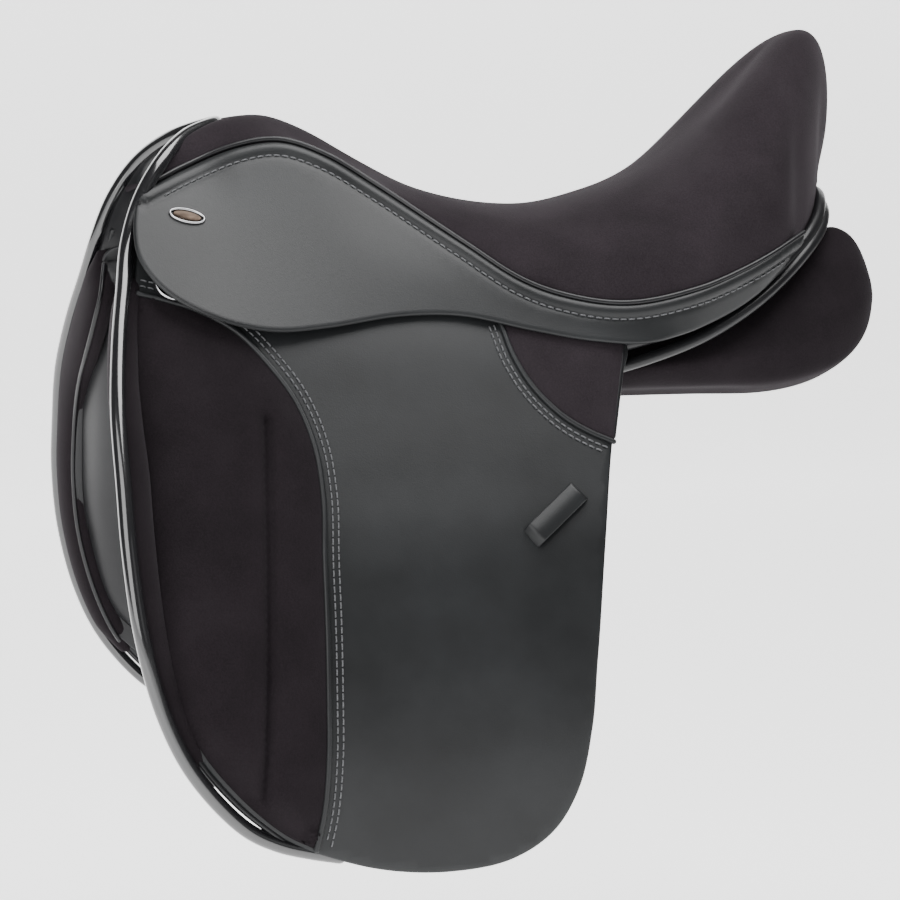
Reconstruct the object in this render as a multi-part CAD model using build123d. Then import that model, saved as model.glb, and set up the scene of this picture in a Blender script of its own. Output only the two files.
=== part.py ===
from build123d import *
import math
import os

# A dressage saddle in its own frame, in millimetres. +X is the near (left) side, -Y is the
# pommel end, +Y is the cantle end and +Z is up. The origin lies on the centre plane, under the
# lowest point of the seat, at the level where the panels bear on the horse.

# ---- driving dimensions ----
LEATHER = 4.0            # flap and skirt leather
SWEAT_LEATHER = 3.0      # sweat flap leather
STRAP_GAP = 10.0         # room between flap and sweat flap, where the girth straps hang
PAD_THIN, PAD_THICK = 4.0, 13.0
COVER = 2.5              # seat cover
FOAM_GAP = 0.4           # between seat cover and foam
SEAM_GAP = 0.3           # between sewn pieces
TREE_WALL = 6.0
UNDERCUT = 14.0          # foam is cut away this far below the tree
FLAP_HINGE_Z = 30.0      # the flap bends here when it is lifted, just below the skirt
HALF_SLIT = 0.6          # half the clearance left where a sheet bends
PIPING_R = 4.6           # front piping
ROLL_R = 6.0             # rolls between cantle and panel
WELT_R = 2.4
EDGING_R = 1.8           # piping on the flap's front edge
STRAP_WIDTH, STRAP_THICK, STRAP_LENGTH = 25.0, 4.0, 290.0
STRAP_TOP_Z = 50.0
STRAP_Y = {"front": -165.0, "rear": -72.0}
BAR_THICK, BAR_HIGH = 8.0, 10.0

# The line the skirt bends on, from the front corner back to its lower edge
SKIRT_LINE_FRONT = (64.0, -245.0, 128.0)
SKIRT_LINE_REAR = (120.0, 80.0, 34.0)

# Outer face of the flap leather, as (x, z) from top to bottom
FLAP_FACE = [(60, 110), (82, 80), (108, 40), (130, 0), (152, -40), (173, -80),
             (188, -120), (197, -160), (202, -205), (203, -280)]


def skirt_line(y):
    """Point (x, z) of the skirt's bending line at a given y."""
    (x0, y0, z0), (x1, y1, z1) = SKIRT_LINE_FRONT, SKIRT_LINE_REAR
    t = (y - y0) / (y1 - y0)
    return x0 + t * (x1 - x0), z0 + t * (z1 - z0)


def flap_x(z):
    """Outer face of the flap leather at a given height, straight between its points."""
    for (xa, za), (xb, zb) in zip(FLAP_FACE, FLAP_FACE[1:]):
        if z >= zb:
            return xa + (z - za) / (zb - za) * (xb - xa)
    return FLAP_FACE[-1][0]


def across(y):
    """Upright plane across the saddle, local x = X and local y = Z."""
    return Plane(origin=(0, y, 0), x_dir=(1, 0, 0), z_dir=(0, -1, 0))


def mirrored(shape):
    return mirror(shape, about=Plane.YZ)


def closed(*edges):
    return make_face(Curve() + list(edges))


def side_prism(face, x0=20.0, x1=240.0):
    """A side-view outline, drawn as (y, z), carried across the near half of the saddle."""
    return extrude(Plane.YZ.offset(x0) * face, amount=x1 - x0)


def slab(outer, inner, top=None, bottom=None):
    """Curved slab behind the flap's face. outer and inner are insets from that face, one
    number or one per point of FLAP_FACE."""
    count = len(FLAP_FACE)
    outs = outer if isinstance(outer, list) else [outer] * count
    ins = inner if isinstance(inner, list) else [inner] * count
    face_out = [(x - o, z) for (x, z), o in zip(FLAP_FACE, outs)]
    face_in = [(x - i, z) for (x, z), i in zip(FLAP_FACE, ins)]
    profile = closed(
        Spline(*face_out),
        Line(face_out[-1], face_in[-1]),
        Spline(*face_in[::-1]),
        Line(face_in[0], face_out[0]),
    )
    return extrude(across(120) * profile, amount=440)


def tube(points, radius, section=None):
    """Round tube through points, with each corner rounded as widely as its runs allow."""
    radii = []
    for a, b, c in zip(points, points[1:], points[2:]):
        u, v = Vector(*b) - Vector(*a), Vector(*c) - Vector(*b)
        half_turn = math.radians(u.get_angle(v)) / 2
        radii.append(0.45 * min(u.length, v.length) / math.tan(half_turn))
    path = FilletPolyline(*points, radius=radii)
    start = Plane(origin=path @ 0, z_dir=path % 0)
    return sweep(start * (section or Circle(radius)), path=path)


def both_sides(points):
    """A near-side route, from its end up to the centre plane, carried on down the off side."""
    return points + [(-x, y, z) for x, y, z in points[-2::-1]]


def drill(shape, y, z, radius):
    """Hole across the whole saddle."""
    return shape - Plane(origin=(-90, y, z), z_dir=(1, 0, 0)) * extrude(Circle(radius), amount=180)


# ---- seat ----
# One row per station: y, half width, height of the edge, height of the crown
SEAT = [
    (-187, 37, 154, 172), (-165, 37.5, 157, 176), (-139, 42, 151, 166), (-105, 52, 131, 147),
    (-73, 67, 112, 132), (-38, 88, 84, 123), (0, 100, 64, 118), (31, 107, 57, 120),
    (66, 113, 58, 129), (102, 113, 69, 146), (138, 103, 80, 181), (180, 82, 104, 221),
    (192, 68, 112, 229), (203, 54, 122, 234), (213, 46, 134, 232), (223, 38, 140, 225),
    (231, 28, 150, 205),
]


def seat_loft(inset, skirt_depth=5.0):
    """Seat shape, shrunk by inset, reaching skirt_depth below its seam."""
    sections = []
    for y, half, edge, crown in SEAT:
        w, top = half - inset, crown - inset
        y += inset if y < SEAT[1][0] else 0
        y -= inset if y > SEAT[-2][0] else 0
        rise = top - edge
        crown_line = [(w, edge), (0.975 * w, edge + 0.24 * rise), (0.87 * w, edge + 0.52 * rise),
                      (0.55 * w, edge + 0.84 * rise), (0, top)]
        over = Spline(*both_flat(crown_line))
        low = edge - skirt_depth
        base = Polyline((-w, edge), (-w, low), (w, low), (w, edge))
        sections.append(across(y) * closed(over, base))
    return loft(sections)


# One row per station: y, crown, (shoulder x, z), (lower edge x, z)
TREE = [
    (-222, 133.5, (34, 124.5), (49.6, 88)), (-191, 133.5, (34, 124.5), (49.6, 88)),
    (-178, 147, (36, 140), (53.4, 88)), (-139, 139, (40, 129), (53.4, 86)),
    (-105, 119, (46, 109), (53.4, 86)), (-85, 108, (50, 101), (53.6, 88)),
    (-38, 93, (66, 82), (82, 70)), (0, 88, (74, 70), (94, 54)), (31, 90, (82, 68), (100, 48)),
    (66, 97, (88, 72), (105, 49)), (102, 108, (88, 84), (104, 62)),
    (138, 148, (76, 120), (92, 74)), (180, 190, (56, 160), (70, 98)), (200, 207, (38, 188), (46, 130)),
]


def tree_loft(wall):
    sections = []
    for y, crown, shoulder, edge in TREE:
        (sx, sz), (ex, ez) = shoulder, edge
        right = [(ex - wall, ez - 0.1 * wall), (sx - wall, sz - 0.6 * wall), (0, crown - wall)]
        outline = Polyline(*both_flat(right), close=True)
        sections.append(across(y) * make_face(outline))
    return loft(sections, ruled=True)


def both_flat(points):
    return points + [(-x, z) for x, z in points[-2::-1]]


def make_tree(filled):
    hollow = tree_loft(TREE_WALL)
    tree = filled - hollow
    for y, z in SCREWS + RIVETS:
        tree = drill(tree, y, z, 3.1 if (y, z) in SCREWS else 2.6)
    return tree


SCREWS = [(-212, 100), (-200, 112)]
RIVETS = [(-170, 97), (-108, 97)]


def arch(outer, thickness, y0, y1):
    """Arch bent over the withers, from its near-side leg round to the off-side leg."""
    inner = [(max(x - thickness, 0), z if x > 45 else z - thickness) for x, z in outer]
    profile = closed(
        Spline(*both_flat(outer)),
        Line((-outer[0][0], outer[0][1]), (-inner[0][0], inner[0][1])),
        Spline(*both_flat(inner)[::-1]),
        Line(inner[0], outer[0]),
    )
    return extrude(across(y1) * profile, amount=y1 - y0)


def make_gullet_plate():
    plate = arch([(56, 90), (53.5, 112), (40, 131), (0, 140.5)], 4.6, -228, -192)
    for y, z in SCREWS:
        plate = drill(plate, y, z, 3.1)
    return plate


def make_gullet_screws():
    screws = []
    for side in (1, -1):
        for y, z in SCREWS:
            head = Plane(origin=(side * 57.0, y, z), z_dir=(side, 0, 0))
            screws.append(head * (extrude(Circle(5.2), amount=2.6) + extrude(Circle(3.0), amount=-14)))
    return Compound(children=screws)


def make_pommel_facing():
    """Leather over the gullet plate: a band in front of it and a cover above it."""
    band = arch([(61, 92), (58.5, 116), (43.5, 137.5), (0, 146)], 2.2, -238, -229)
    cover = arch([(49, 132), (43.5, 137.5), (22, 143.8), (0, 146)], 2.2, -230, -189)
    return band + cover


# ---- skirt ----
# One row per station: y, slope above the bending line, slope below it
SKIRT_SLOPES = [
    (-262, 0.90, 0.75), (-220, 0.96, 0.74), (-187, 0.71, 0.68), (-139, 0.62, 0.60),
    (-105, 0.69, 0.55), (-73, 0.66, 0.50), (-38, 0.45, 0.50), (0, 0.19, 0.50), (31, -0.05, 0.50),
    (66, -0.05, 0.45),
]
# Behind the bending line: y, (x, z) on the upper edge, (x, z) on the lower edge
SKIRT_TAIL = [
    (84, (119, 62), (117, 30)), (102, (118, 69), (111, 36)), (138, (108, 80), (100, 53)),
    (163, (97, 91), (89, 74)), (184, (86, 101), (80, 88)),
]


def strip_section(y, upper, lower):
    (xu, zu), (xl, zl) = upper, lower
    outline = Polyline((xu, zu), (xl, zl), (xl - LEATHER, zl), (xu - LEATHER, zu), close=True)
    return across(y) * make_face(outline)


def make_skirt_top():
    """Upper band of the skirt and its tail, sewn down along the seat."""
    sections = []
    for y, above, _ in SKIRT_SLOPES:
        x, z = skirt_line(y)
        sections.append(strip_section(y, (x - 58 * above, z + 58), (x + 8 * above, z - 8)))
    for y, upper, lower in SKIRT_TAIL:
        sections.append(strip_section(y, upper, lower))
    band = loft(sections)
    gap = HALF_SLIT
    ya, yb = -246, 61
    outline = closed(
        Spline((ya, skirt_line(ya)[1] + gap + 0.8), (-222, 141), (-187, 154.5), (-160, 157.5),
               (-132, 148), (-100, 128), (-54, 95), (-20, 71.5), (8, 61), (45, 56), (90, 64),
               (128, 77), (175, 98)),
        Spline((175, 98), (172, 90), (149, 67), (110, 46), (yb, 34)),
        Line((yb, 34), (yb, skirt_line(yb)[1] + gap)),
        Line((yb, skirt_line(yb)[1] + gap), (ya, skirt_line(ya)[1] + gap)),
        Line((ya, skirt_line(ya)[1] + gap), (ya, skirt_line(ya)[1] + gap + 0.8)),
    )
    return band & side_prism(outline)


def make_skirt():
    """Lower part of the skirt, which lifts to uncover the stirrup bar."""
    sections = []
    for y, _, below in SKIRT_SLOPES:
        x, z = skirt_line(y)
        sections.append(strip_section(y, (x - 2 * below, z + 2), (x + 90 * below, z - 90)))
    leaf = loft(sections)
    ya, yb = -247, 60
    gap = HALF_SLIT
    outline = closed(
        Line((ya, skirt_line(ya)[1] - gap), (yb, skirt_line(yb)[1] - gap)),
        Line((yb, skirt_line(yb)[1] - gap), (yb, 33)),
        Spline((yb, 33), (20, 35), (-18, 42), (-60, 51), (-100, 51.5), (-145, 46), (-180, 44.5),
               (-213, 52), (-239, 68), (-251, 88), (-252, 106), (ya, skirt_line(ya)[1] - gap)),
    )
    return leaf & side_prism(outline)


def make_badge():
    """Plain oval stud on the front of the skirt."""
    y, z, slope = -225, 112, 0.75
    x = skirt_line(y)[0] + slope * (skirt_line(y)[1] - z) + 0.5
    seat_plane = Plane(origin=(x, y, z), x_dir=(0, 1, 0), z_dir=(1, 0, slope))
    oval = seat_plane * (Rot(0, 0, -14) * Ellipse(11, 5))
    return extrude(oval, amount=1.8)


# ---- flap ----
def make_flap():
    z = FLAP_HINGE_Z - HALF_SLIT
    outline = closed(
        Line((-265, z), (46, z)),
        Spline((46, z), (26, -25), (10, -90), (-3, -180), (-22, -243), (-62, -267), (-115, -270),
               (-172, -254), (-214, -226), (-243, -188), (-259.3, -145), (-267.5, -84),
               (-268.3, -30), (-265, z)),
    )
    return (side_prism(outline) & slab(0, LEATHER)) - make_flap_edging(EDGING_R + SEAM_GAP)


def make_flap_top():
    """Upper edge of the flap, sewn to the tree under the skirt and cut away round the bar."""
    z = FLAP_HINGE_Z + HALF_SLIT
    outline = make_face(Polyline((-265, z), (46, z), (34, 40), (0, 46), (-38, 66), (-62, 72),
                                 (-200, 72), (-206, 100), (-252, 102), (-260, 66), close=True))
    return side_prism(outline) & slab(0, LEATHER)


def make_knee_pad():
    z = FLAP_HINGE_Z - 2.0
    outline = closed(
        Line((-262, z), (-187, z)),
        Spline((-187, z), (-169, 2), (-160.5, -40), (-164, -118), (-167, -196), (-176, -248)),
        Spline((-176, -248), (-211, -224), (-242, -184), (-260, -134), (-265.5, -75), (-266, -30),
               (-262, z)),
    )
    swell = [-(PAD_THIN + t * (PAD_THICK - PAD_THIN)) for t in (0, 0, 0, 0.6, 1, 1, 1, 0.8, 0.5, 0.2)]
    return side_prism(outline) & slab(swell, -0.1)


def make_rear_patch():
    z = FLAP_HINGE_Z - HALF_SLIT
    outline = closed(
        Line((-31, z), (44, z)),
        Line((44, z), (25, -23)),
        Spline((25, -23), (8, -18), (-12, -2), (-31, z)),
    )
    return side_prism(outline) & slab(-1.6, -0.1)


def make_flap_edging(radius=EDGING_R):
    """Piping along the front edge of the flap."""
    points = [(flap_x(z) - 2, y, z) for y, z in
              [(-265, 24), (-268.3, -30), (-267.5, -84), (-259.3, -145), (-243, -188)]]
    return tube(points, radius)


def make_keeper():
    """Leather loop on the flap that takes the loose end of the stirrup leather."""
    centre = (flap_x(-66) + 1.4, -18, -66)
    base = Plane(origin=centre, x_dir=(13, -35, -26), z_dir=(0.876, 0, 0.482))
    length, width, gap, skin = 46.0, 13.0, 3.6, 2.6
    strip = Pos(0, 0, gap + skin / 2) * Box(length, width, skin)
    feet = Pos(length / 2 - 3, 0, gap / 2) * Box(6, width, gap)
    feet += Pos(3 - length / 2, 0, gap / 2) * Box(6, width, gap)
    return base * (strip + feet)


def make_sweat_flap():
    outline = closed(
        Polyline((32, 34), (0, 42), (-38, 58), (-62, 66), (-200, 66), (-208, 86), (-256, 88), (-262, 60)),
        Spline((-262, 60), (-270, -10), (-268, -110), (-248, -184), (-216, -217), (-170, -238),
               (-110, -250), (-60, -244), (-32, -215), (-12, -140), (8, -50), (32, 34)),
    )
    inset = LEATHER + STRAP_GAP
    return side_prism(outline) & slab(inset, inset + SWEAT_LEATHER)


# ---- panel ----
# One row per station: y, inner top, outer top, outer bottom, inner bottom, each as (x, z)
PANEL = [
    (-240, (30, 80), (46, 82), (96, 6), (64, 0)), (-200, (30, 86), (46, 84), (98, 5), (62, 0)),
    (-130, (30, 84), (46, 83), (99, 4), (54, -1)), (-70, (30, 80), (60, 78), (99, 4), (44, -8)),
    (0, (30, 70), (74, 50), (98, 6), (38, -14)), (60, (30, 72), (84, 34), (101, 6), (36, -15)),
    (110, (30, 78), (80, 46), (108, 10), (36, -15)), (165, (30, 86), (60, 68), (104, 16), (36, -16)),
    (195, (30, 94), (52, 88), (94, 18), (36, -11)), (217, (30, 104), (50, 100), (82, 26), (37, 1)),
    (230, (31, 98), (50, 93), (70, 36), (39, 14)), (238, (34, 84), (50, 80), (60, 45), (42, 27)),
    (242, (40, 68), (49, 66), (52, 50), (44, 44)),
]


def make_panel():
    """Flocked cushion that bears on the horse's back, beside the channel."""
    sections = []
    for y, *corners in PANEL:
        ring = []
        for (xa, za), (xb, zb) in zip(corners, corners[1:] + corners[:1]):
            ring += [(xa + t * (xb - xa), za + t * (zb - za)) for t in (0.22, 0.78)]
        sections.append(across(y) * make_face(Spline(*ring, periodic=True)))
    return loft(sections)


def make_forward_panel():
    """Thin padded part of the panel that runs down behind the sweat flap to the knee."""
    outline = closed(
        Polyline((-260, 76), (-246, 76), (-246, -8), (-62, -10), (-84, -150)),
        Spline((-84, -150), (-100, -190), (-140, -212), (-198, -212), (-242, -182), (-264, -110),
               (-269, -10), (-260, 76)),
    )
    face_in = LEATHER + STRAP_GAP + SWEAT_LEATHER + 0.5
    padding = [14, 18, 30, 32, 26, 20, 14, 10, 8, 8]
    return side_prism(outline) & slab(face_in, [face_in + p for p in padding])


def make_panel_piping():
    """Front piping: up the near panel, over the pommel and down the off panel."""
    near = [(203, -217, -235), (206, -246, -201), (206, -262, -165), (204, -273, -118),
            (194, -277.5, -74), (178, -279.5, -38), (154, -279, 2), (124, -275, 39), (97, -270, 69),
            (75, -265, 96), (64, -257, 122), (53, -242, 145), (30, -221, 161), (0, -194, 170)]
    return tube(both_sides(near), PIPING_R)


def make_cantle_roll(radius=ROLL_R):
    """Roll between the rear of the seat and the panels."""
    near = [(106, 57, 28), (104, 91, 38), (100, 115, 47), (92, 142, 61), (80, 167, 77),
            (70, 185, 91), (55, 200, 104), (39, 209, 114), (20, 215, 120), (0, 217, 122)]
    return tube(both_sides(near), radius)


def make_seat_welt():
    """Welt in the seam between seat and skirt."""
    near = [(84, 184, 107), (97.5, 160, 97), (109.5, 131, 85), (118.6, 96, 73.5), (119.2, 66, 64),
            (112.5, 31, 62.5), (105, -2, 70), (94, -36, 89), (74, -71, 116), (58, -106, 137),
            (49.5, -138, 157), (46.6, -164, 163.5), (45, -186, 161)]
    welt = tube(near, WELT_R)
    return Compound(children=[welt, mirrored(welt)])


def make_channel_lining():
    """Lining of the channel between the panels, under the tree."""
    sections = []
    for y, z, half in [(-186, 104, 27), (-100, 96, 27), (0, 76, 27), (100, 84, 27), (160, 92, 27)]:
        bow = closed(
            ThreePointArc((-half, z - 12), (0, z), (half, z - 12)),
            Line((half, z - 12), (half, z - 13.5)),
            ThreePointArc((half, z - 13.5), (0, z - 1.5), (-half, z - 13.5)),
            Line((-half, z - 13.5), (-half, z - 12)),
        )
        sections.append(across(y) * bow)
    return loft(sections)


# ---- metalwork ----
BAR_X, BAR_Z = 70.0, 87.0
BAR_FRONT, BAR_END = -182.0, -92.0
PLATE_X0, PLATE_X1 = 54.2, 57.2
CATCH_LENGTH = 12.0
CATCH_PIN = (BAR_X, BAR_END + 5, BAR_Z)


def make_stirrup_bar():
    """Forged stirrup bar: plate on the tree, front bend, and the bar the leather hangs on."""
    plate = Pos((PLATE_X0 + PLATE_X1) / 2, (BAR_FRONT + BAR_END) / 2, 93) * Box(
        PLATE_X1 - PLATE_X0, BAR_END - BAR_FRONT, 17)
    bar = Pos(BAR_X, (BAR_FRONT + BAR_END) / 2, BAR_Z) * Box(BAR_THICK, BAR_END - BAR_FRONT, BAR_HIGH)
    bar = fillet(bar.edges().filter_by(Axis.Y), 2.5)
    bend = Pos((PLATE_X1 + BAR_X) / 2, BAR_FRONT + 4, BAR_Z) * Box(BAR_X - PLATE_X1 + 4, 8, BAR_HIGH)
    ears = Pos(BAR_X, BAR_END + 4, BAR_Z) * Box(BAR_THICK, 10, BAR_HIGH - 2)
    ears -= Pos(BAR_X, BAR_END + 6, BAR_Z) * Box(4.4, 10, BAR_HIGH)
    body = plate + bar + bend + ears
    for y, z in RIVETS:
        body = drill(body, y, z, 2.6)
    return drill(body, CATCH_PIN[1], BAR_Z, 1.55)


def make_bar_catch():
    """Safety catch that closes the rear of the bar when it is turned up."""
    y = CATCH_PIN[1]
    lever = Pos(BAR_X, y + CATCH_LENGTH / 2, BAR_Z) * Box(3.8, CATCH_LENGTH, 5.0)
    knuckle = Plane(origin=(BAR_X - 1.9, y, BAR_Z), z_dir=(1, 0, 0)) * extrude(Circle(2.9), amount=3.8)
    thumb = Pos(BAR_X, y + CATCH_LENGTH + 1, BAR_Z + 0.4) * Box(7.0, 3.0, 5.8)
    return drill(lever + knuckle + thumb, y, BAR_Z, 1.6)


def make_catch_pin():
    start = Plane(origin=(BAR_X - BAR_THICK / 2, CATCH_PIN[1], BAR_Z), z_dir=(1, 0, 0))
    return start * extrude(Circle(1.5), amount=BAR_THICK)


def make_bar_rivets():
    rivets = []
    for side in (1, -1):
        for y, z in RIVETS:
            head = Plane(origin=(side * PLATE_X1, y, z), z_dir=(side, 0, 0))
            rivets.append(head * (extrude(Circle(4.2), amount=1.8) + extrude(Circle(2.5), amount=-9)))
    return Compound(children=rivets)


# The dee lies along the flap, hinged in its leather chape
DEE_PIVOT = (89.5, -236.0, 79.0)
DEE_WIRE, DEE_HALF, DEE_DROP = 1.8, 11.0, 8.0


def dee_plane():
    return Plane(origin=DEE_PIVOT, x_dir=(0, 1, 0), z_dir=(0.8, 0, 0.6))


def make_dee_ring():
    """D-shaped wire ring, straight bar at the pivot and round end down the slope."""
    route = Wire([
        Line((-DEE_HALF, 0, 0), (DEE_HALF, 0, 0)).edge(),
        Line((DEE_HALF, 0, 0), (DEE_HALF, DEE_DROP, 0)).edge(),
        ThreePointArc((DEE_HALF, DEE_DROP, 0), (0, DEE_DROP + DEE_HALF, 0), (-DEE_HALF, DEE_DROP, 0)).edge(),
        Line((-DEE_HALF, DEE_DROP, 0), (-DEE_HALF, 0, 0)).edge(),
    ])
    wire = sweep(Plane(origin=(0, 0, 0), z_dir=(1, 0, 0)) * Circle(DEE_WIRE), path=route,
                 transition=Transition.ROUND)
    local = dee_plane()
    turn = Plane(origin=DEE_PIVOT, x_dir=(0, 1, 0), z_dir=(-local.z_dir))
    return turn * wire


def make_dee_chape():
    """Leather chape that holds the dee's bar and is sewn to the upper flap."""
    x, y, z = DEE_PIVOT
    loop = Plane(origin=(x, y - 7, z), z_dir=(0, 1, 0)) * extrude(Circle(4.0), amount=14)
    tab = Pos(x - 6.0, y, z + 7.5) * Rot(0, -36, 0) * Box(2.2, 14, 16)
    bore = Plane(origin=(x, y - 20, z), z_dir=(0, 1, 0)) * extrude(Circle(2.15), amount=40)
    return loop + tab - bore


# ---- girth straps ----
def strap_band(y, half_width, z_top, z_bottom, inset, thickness):
    band = make_face(Polyline((y - half_width, z_top), (y + half_width, z_top),
                              (y + half_width, z_bottom), (y - half_width, z_bottom), close=True))
    return side_prism(band) & slab(inset, inset + thickness)


def make_girth_webs():
    """Webbing from the tree that carries the girth straps of one side."""
    webs = [strap_band(y, 15, 64, STRAP_TOP_Z + 2.4, LEATHER + 4.6, 2.0) for y in STRAP_Y.values()]
    return Compound(children=webs)


def make_girth_strap(y):
    half = STRAP_WIDTH / 2
    bottom = STRAP_TOP_Z - STRAP_LENGTH
    strap = strap_band(y, half, STRAP_TOP_Z, bottom, LEATHER + 3, STRAP_THICK)
    for i in range(6):
        z = bottom + 35 + 25 * i
        strap -= Plane(origin=(100, y, z), z_dir=(1, 0, 0)) * extrude(Circle(2.5), amount=130)
    return strap


def build_nodes():
    filled_tree = tree_loft(0)
    below_tree = Pos(0, 0, -UNDERCUT) * filled_tree
    seat_foam = seat_loft(COVER + FOAM_GAP) - filled_tree - below_tree
    seat_cover = seat_loft(0) - seat_loft(COVER, skirt_depth=9.0) - filled_tree
    around_seat = seat_loft(-SEAM_GAP)
    nodes = {
        "tree": make_tree(filled_tree),
        "gullet_plate": make_gullet_plate(),
        "gullet_screws": make_gullet_screws(),
        "pommel_facing": make_pommel_facing(),
        "seat_cover": seat_cover,
        "seat_foam": seat_foam,
        "seat_welt": make_seat_welt() - around_seat,
        "cantle_roll": make_cantle_roll(),
        "channel_lining": make_channel_lining(),
        "front_piping": make_panel_piping(),
        "bar_rivets": make_bar_rivets(),
    }
    sided = {
        "skirt_top": make_skirt_top() - around_seat - make_cantle_roll(ROLL_R + SEAM_GAP),
        "skirt": make_skirt(),
        "badge": make_badge(),
        "flap_top": make_flap_top(),
        "flap": make_flap(),
        "knee_pad": make_knee_pad(),
        "rear_patch": make_rear_patch(),
        "flap_edging": make_flap_edging(),
        "keeper": make_keeper(),
        "sweat_flap": make_sweat_flap(),
        "panel": make_panel(),
        "forward_panel": make_forward_panel(),
        "stirrup_bar": make_stirrup_bar(),
        "bar_catch": make_bar_catch(),
        "catch_pin": make_catch_pin(),
        "dee_ring": make_dee_ring(),
        "dee_chape": make_dee_chape(),
        "girth_webs": make_girth_webs(),
        "front_girth_strap": make_girth_strap(STRAP_Y["front"]),
        "rear_girth_strap": make_girth_strap(STRAP_Y["rear"]),
    }
    for name, shape in sided.items():
        nodes[name + "_left"] = shape
        nodes[name + "_right"] = mirrored(shape)
    return nodes


os.makedirs("parts", exist_ok=True)
for node_name, node_shape in build_nodes().items():
    export_step(node_shape, os.path.join("parts", node_name + ".step"))
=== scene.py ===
import bpy
import math
from mathutils import Matrix, Vector
from mathutils.geometry import delaunay_2d_cdt
from mathutils.kdtree import KDTree


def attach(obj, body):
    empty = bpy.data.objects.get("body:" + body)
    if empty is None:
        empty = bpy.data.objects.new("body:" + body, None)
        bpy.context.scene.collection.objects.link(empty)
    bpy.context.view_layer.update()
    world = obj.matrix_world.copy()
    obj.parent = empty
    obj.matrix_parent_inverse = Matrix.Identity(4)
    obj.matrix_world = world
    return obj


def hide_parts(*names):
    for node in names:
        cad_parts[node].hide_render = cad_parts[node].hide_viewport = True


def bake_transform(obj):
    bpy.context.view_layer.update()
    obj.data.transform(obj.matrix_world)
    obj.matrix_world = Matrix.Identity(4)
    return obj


# A dressage saddle. Lengths in this script are in millimetres, in the CAD frame: +X is the near
# (left) side, -Y the pommel, +Y the cantle, +Z up. Meshes are scaled to metres as they are made.
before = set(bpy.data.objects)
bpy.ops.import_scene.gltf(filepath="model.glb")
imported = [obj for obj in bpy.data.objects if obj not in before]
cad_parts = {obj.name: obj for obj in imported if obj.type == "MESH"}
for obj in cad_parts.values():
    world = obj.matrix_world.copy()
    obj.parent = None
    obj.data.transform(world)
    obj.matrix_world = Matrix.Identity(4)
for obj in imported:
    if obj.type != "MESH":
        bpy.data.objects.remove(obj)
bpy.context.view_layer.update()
MM = 0.001
SIDES = (("left", 1), ("right", -1))


# ---------------------------------------------------------------- camera, light and floor
def make_camera():
    data = bpy.data.cameras.new("camera")
    data.sensor_width = 36.0
    data.lens = 92.756
    camera = bpy.data.objects.new("camera", data)
    bpy.context.collection.objects.link(camera)
    target = Vector((0, -38.3, -46.0)) * MM
    camera.location = Vector((1482.9, -449.5, 142.9)) * MM
    camera.rotation_euler = (target - camera.location).to_track_quat("-Z", "Y").to_euler()
    bpy.context.scene.camera = camera


def area_light(name, place, aim, size, power):
    data = bpy.data.lights.new(name, "AREA")
    data.shape = "RECTANGLE"
    data.size, data.size_y = size
    data.energy = power
    light = bpy.data.objects.new(name, data)
    light.location = place
    light.rotation_euler = (Vector(aim) - Vector(place)).to_track_quat("-Z", "Y").to_euler()
    bpy.context.collection.objects.link(light)


def make_studio():
    world = bpy.data.worlds.new("studio")
    bpy.context.scene.world = world
    world.use_nodes = True
    world.node_tree.nodes["Background"].inputs["Color"].default_value = (1.0, 1.0, 1.0, 1.0)
    world.node_tree.nodes["Background"].inputs["Strength"].default_value = 0.12
    area_light("key", (1.05, -0.95, 0.45), (0, -0.05, -0.05), (1.1, 1.4), 22)
    area_light("fill", (1.7, 1.0, 0.5), (0, 0, -0.05), (1.0, 1.0), 1.2)
    area_light("top", (0.30, 0.25, 1.35), (0, 0, 0), (1.1, 1.2), 36)
    floor_z, reach, bend = -0.46, 2.6, 1.2
    profile = [(reach * 1.6, floor_z), (-reach, floor_z)]
    for i in range(1, 13):
        a = math.radians(90 * i / 12)
        profile.append((-reach - bend * math.sin(a), floor_z + bend * (1 - math.cos(a))))
    profile.append((-reach - bend, floor_z + 4.0))
    verts, faces = [], []
    for x, z in profile:
        verts += [(x, -4.5, z), (x, 4.5, z)]
    for i in range(len(profile) - 1):
        faces.append((2 * i, 2 * i + 1, 2 * i + 3, 2 * i + 2))
    mesh = bpy.data.meshes.new("backdrop")
    mesh.from_pydata(verts, [], faces)
    for polygon in mesh.polygons:
        polygon.use_smooth = True
    backdrop = bpy.data.objects.new("backdrop", mesh)
    bpy.context.collection.objects.link(backdrop)
    paper = bpy.data.materials.new("paper")
    paper.use_nodes = True
    shader = paper.node_tree.nodes["Principled BSDF"]
    shader.inputs["Base Color"].default_value = (0.93, 0.93, 0.93, 1)
    shader.inputs["Roughness"].default_value = 0.8
    shader.inputs["Emission Color"].default_value = (1, 1, 1, 1)
    shader.inputs["Emission Strength"].default_value = 1.7
    mesh.materials.append(paper)


# ---------------------------------------------------------------- materials
def new_material(name):
    material = bpy.data.materials.new(name)
    material.use_nodes = True
    tree = material.node_tree
    return material, tree, tree.nodes["Principled BSDF"]


def noise(tree, coords, scale, detail=4.0, rough=0.55):
    node = tree.nodes.new("ShaderNodeTexNoise")
    node.inputs["Scale"].default_value = scale
    node.inputs["Detail"].default_value = detail
    node.inputs["Roughness"].default_value = rough
    tree.links.new(coords, node.inputs["Vector"])
    return node.outputs["Fac"]


def voronoi(tree, coords, scale, feature="F1"):
    node = tree.nodes.new("ShaderNodeTexVoronoi")
    node.feature = feature
    node.inputs["Scale"].default_value = scale
    tree.links.new(coords, node.inputs["Vector"])
    return node.outputs["Distance"]


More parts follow.
